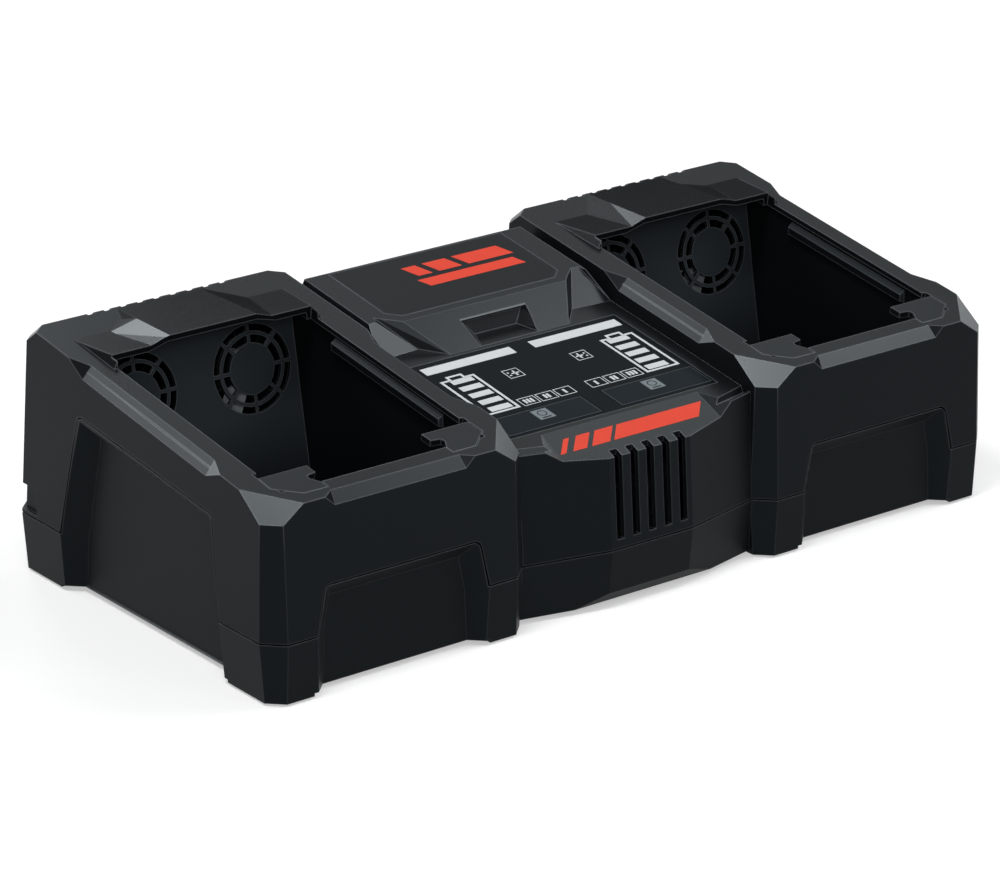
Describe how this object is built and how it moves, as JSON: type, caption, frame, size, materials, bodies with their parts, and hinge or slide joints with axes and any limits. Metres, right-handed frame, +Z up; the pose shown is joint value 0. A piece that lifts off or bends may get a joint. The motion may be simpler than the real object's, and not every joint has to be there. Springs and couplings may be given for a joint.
{
  "type": "power tool battery charger",
  "caption": "Twin-bay fast charger for slide-in tool battery packs, with sunken display panel, mode keys, fan-cooled bays and a moulded case on rubber feet.",
  "frame": {"origin": "centre of the footprint, on the table", "axes": "+X along the width to the right bay, +Y from the display's front edge to the back wall, +Z up"},
  "size_m": [0.41, 0.2116, 0.12],
  "materials": {
    "housing": "fine textured charcoal",
    "base": "fine textured charcoal",
    "tub": "matt dark",
    "stop": "satin",
    "display": "glossy blue-grey",
    "lamp": "satin diffuser",
    "key": "glossy blue-grey",
    "plate": "satin",
    "fan_frame": "matt black",
    "fan_rotor": "satin black",
    "board": "green laminate",
    "switch": "moulded",
    "ferrite": "matt ferrite",
    "winding": "varnished wire",
    "heatsink": "extruded",
    "capacitor": "sleeved",
    "choke": "wound ring",
    "contact": "bright",
    "gland": "moulded",
    "rubber": "matt",
    "screw": "zinc plated"
  },
  "bodies": {
    "charger": {"base_shell": "base", "housing_left": "housing", "housing_middle": "housing", "housing_right": "housing", "tub_left": "tub", "tub_right": "tub", "stops_left": "stop", "stops_right": "stop", "display_panel": "display", "light_bars": "lamp", "badge_plate": "plate", "fan_frame_1": "fan_frame", "fan_frame_2": "fan_frame", "fan_frame_3": "fan_frame", "fan_frame_4": "fan_frame", "main_board": "board", "display_board": "board", "key_switches": "switch", "transformer_cores": "ferrite", "transformer_coils": "winding", "heatsinks": "heatsink", "bulk_capacitors": "capacitor", "filter_choke": "choke", "contact_block_left": "tub", "contact_block_right": "tub", "contacts_left": "contact", "contacts_right": "contact", "cord_gland": "gland", "rubber_feet": "rubber", "case_screws": "screw"},
    "fan_1": {"fan_rotor_1": "fan_rotor"},
    "fan_2": {"fan_rotor_2": "fan_rotor"},
    "fan_3": {"fan_rotor_3": "fan_rotor"},
    "fan_4": {"fan_rotor_4": "fan_rotor"},
    "key_left": {"mode_key_left": "key"},
    "key_right": {"mode_key_right": "key"}
  },
  "joints": [
    {"name": "fan_1_spin", "type": "hinge", "parent": "charger", "child": "fan_1", "pos_m": [-0.1661, 0.06652, 0.08535], "axis": [0, 0.9863, -0.165], "continuous": true},
    {"name": "fan_2_spin", "type": "hinge", "parent": "charger", "child": "fan_2", "pos_m": [-0.1041, 0.06652, 0.08535], "axis": [0, 0.9863, -0.165], "continuous": true},
    {"name": "fan_3_spin", "type": "hinge", "parent": "charger", "child": "fan_3", "pos_m": [0.1041, 0.06652, 0.08535], "axis": [0, 0.9863, -0.165], "continuous": true},
    {"name": "fan_4_spin", "type": "hinge", "parent": "charger", "child": "fan_4", "pos_m": [0.1661, 0.06652, 0.08535], "axis": [0, 0.9863, -0.165], "continuous": true},
    {"name": "mode_key_left_press", "type": "slide", "parent": "charger", "child": "key_left", "axis": [0, 0.1519, -0.9884], "range_m": [0, 0.0006], "stiffness_N_per_m": 900},
    {"name": "mode_key_right_press", "type": "slide", "parent": "charger", "child": "key_right", "axis": [0, 0.1519, -0.9884], "range_m": [0, 0.0006], "stiffness_N_per_m": 900}
  ]
}
